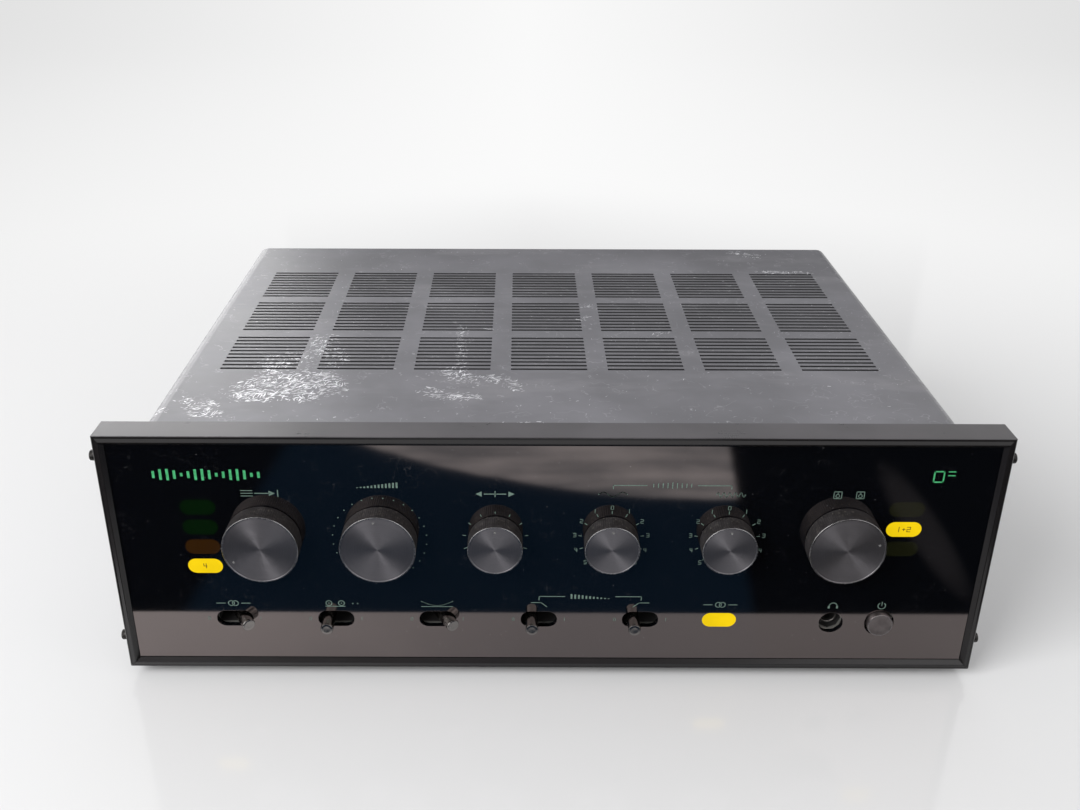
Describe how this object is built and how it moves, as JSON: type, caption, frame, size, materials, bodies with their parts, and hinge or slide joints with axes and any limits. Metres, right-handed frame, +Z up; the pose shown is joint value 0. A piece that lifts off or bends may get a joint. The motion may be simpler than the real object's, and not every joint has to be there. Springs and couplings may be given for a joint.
{
  "type": "integrated amplifier",
  "caption": "Low hi-fi amplifier with a smoked front plate in a mitred frame, round metal knobs, small lever switches, lit windows and a slotted folded steel cover.",
  "frame": {"origin": "centre of the bounding box's underside, on the surface that the feet stand on", "axes": "+X to the right seen from the front, +Y to the back, +Z up"},
  "size_m": [0.45, 0.3176, 0.142],
  "materials": {
    "frame_black": "black anodised, satin",
    "smoked_plate": "polished smoked acrylic",
    "zinc_steel": "zinc plated",
    "cover_paint": "satin charcoal enamel, scratched",
    "knob_metal": "black anodised, spun face",
    "shaft_aluminium": "as drawn",
    "control_case": "plated",
    "lever_chrome": "bright plated",
    "button_aluminium": "spun face",
    "window_lens": "translucent amber",
    "black_plastic": "moulded",
    "foot_rubber": "moulded",
    "core_iron": "varnished laminations",
    "winding_copper": "taped copper winding",
    "capacitor_sleeve": "shrunk sleeve",
    "circuit_board": "phenolic paper laminate",
    "phenolic": "phenolic paper laminate"
  },
  "bodies": {
    "chassis": {"frame_top": "frame_black", "frame_bottom": "frame_black", "frame_left": "frame_black", "frame_right": "frame_black", "front_plate": "smoked_plate", "front_panel": "zinc_steel", "base_tray": "zinc_steel", "rear_panel": "zinc_steel", "earth_post": "zinc_steel", "top_cover": "cover_paint", "heat_sink": "shaft_aluminium", "selector_switch": "control_case", "volume_pot": "control_case", "balance_pot": "control_case", "bass_pot": "control_case", "treble_pot": "control_case", "speaker_switch": "control_case", "headphone_jack": "lever_chrome", "frame_screw_left_upper": "lever_chrome", "frame_screw_left_lower": "lever_chrome", "frame_screw_right_upper": "lever_chrome", "frame_screw_right_lower": "lever_chrome", "input_lens_bar": "window_lens", "speaker_lens_bar": "window_lens", "stereo_lens": "window_lens", "lever_switch_bank": "black_plastic", "power_switch": "black_plastic", "speaker_terminals": "black_plastic", "fuse_holder": "black_plastic", "mains_inlet": "black_plastic", "foot_front_left": "foot_rubber", "foot_front_right": "foot_rubber", "foot_rear_left": "foot_rubber", "foot_rear_right": "foot_rubber", "transformer_core": "core_iron", "transformer_winding": "winding_copper", "capacitor_front": "capacitor_sleeve", "capacitor_rear": "capacitor_sleeve", "power_amplifier_board": "circuit_board", "preamplifier_board": "circuit_board", "input_jack_panel": "phenolic"},
    "selector_control": {"selector_knob": "knob_metal", "selector_shaft": "shaft_aluminium"},
    "volume_control": {"volume_knob": "knob_metal", "volume_shaft": "shaft_aluminium"},
    "balance_control": {"balance_knob": "knob_metal", "balance_shaft": "shaft_aluminium"},
    "bass_control": {"bass_knob": "knob_metal", "bass_shaft": "shaft_aluminium"},
    "treble_control": {"treble_knob": "knob_metal", "treble_shaft": "shaft_aluminium"},
    "speaker_control": {"speaker_knob": "knob_metal", "speaker_shaft": "shaft_aluminium"},
    "lever_1_bat": {"lever_1": "lever_chrome"},
    "lever_2_bat": {"lever_2": "lever_chrome"},
    "lever_3_bat": {"lever_3": "lever_chrome"},
    "lever_4_bat": {"lever_4": "lever_chrome"},
    "lever_5_bat": {"lever_5": "lever_chrome"},
    "power_push": {"power_button": "button_aluminium"}
  },
  "joints": [
    {"name": "selector_turn", "type": "hinge", "parent": "chassis", "child": "selector_control", "pos_m": [-0.14297, -0.15035, 0.0843], "axis": [0, 1, 0], "range_deg": [0, 90]},
    {"name": "volume_turn", "type": "hinge", "parent": "chassis", "child": "volume_control", "pos_m": [-0.08546, -0.15035, 0.0843], "axis": [0, 1, 0], "range_deg": [-145, 155]},
    {"name": "balance_turn", "type": "hinge", "parent": "chassis", "child": "balance_control", "pos_m": [-0.02795, -0.15035, 0.0843], "axis": [0, 1, 0], "range_deg": [-150, 150]},
    {"name": "bass_turn", "type": "hinge", "parent": "chassis", "child": "bass_control", "pos_m": [0.02955, -0.15035, 0.0843], "axis": [0, 1, 0], "range_deg": [-137, 137]},
    {"name": "treble_turn", "type": "hinge", "parent": "chassis", "child": "treble_control", "pos_m": [0.08706, -0.15035, 0.0843], "axis": [0, 1, 0], "range_deg": [-137, 137]},
    {"name": "speaker_turn", "type": "hinge", "parent": "chassis", "child": "speaker_control", "pos_m": [0.14457, -0.15035, 0.0843], "axis": [0, 1, 0], "range_deg": [-60, 30]},
    {"name": "lever_1_swing", "type": "hinge", "parent": "chassis", "child": "lever_1_bat", "pos_m": [-0.166, -0.13385, 0.0358], "axis": [0, 0, 1], "range_deg": [-31, 0]},
    {"name": "lever_2_swing", "type": "hinge", "parent": "chassis", "child": "lever_2_bat", "pos_m": [-0.11382, -0.13385, 0.0358], "axis": [0, 0, 1], "range_deg": [0, 31]},
    {"name": "lever_3_swing", "type": "hinge", "parent": "chassis", "child": "lever_3_bat", "pos_m": [-0.06164, -0.13385, 0.0358], "axis": [0, 0, 1], "range_deg": [-31, 0]},
    {"name": "lever_4_swing", "type": "hinge", "parent": "chassis", "child": "lever_4_bat", "pos_m": [-0.00945, -0.13385, 0.0358], "axis": [0, 0, 1], "range_deg": [0, 31]},
    {"name": "lever_5_swing", "type": "hinge", "parent": "chassis", "child": "lever_5_bat", "pos_m": [0.04273, -0.13385, 0.0358], "axis": [0, 0, 1], "range_deg": [0, 31]},
    {"name": "power_press", "type": "slide", "parent": "chassis", "child": "power_push", "axis": [0, 1, 0], "range_m": [0, 0.003], "stiffness_N_per_m": 200}
  ]
}
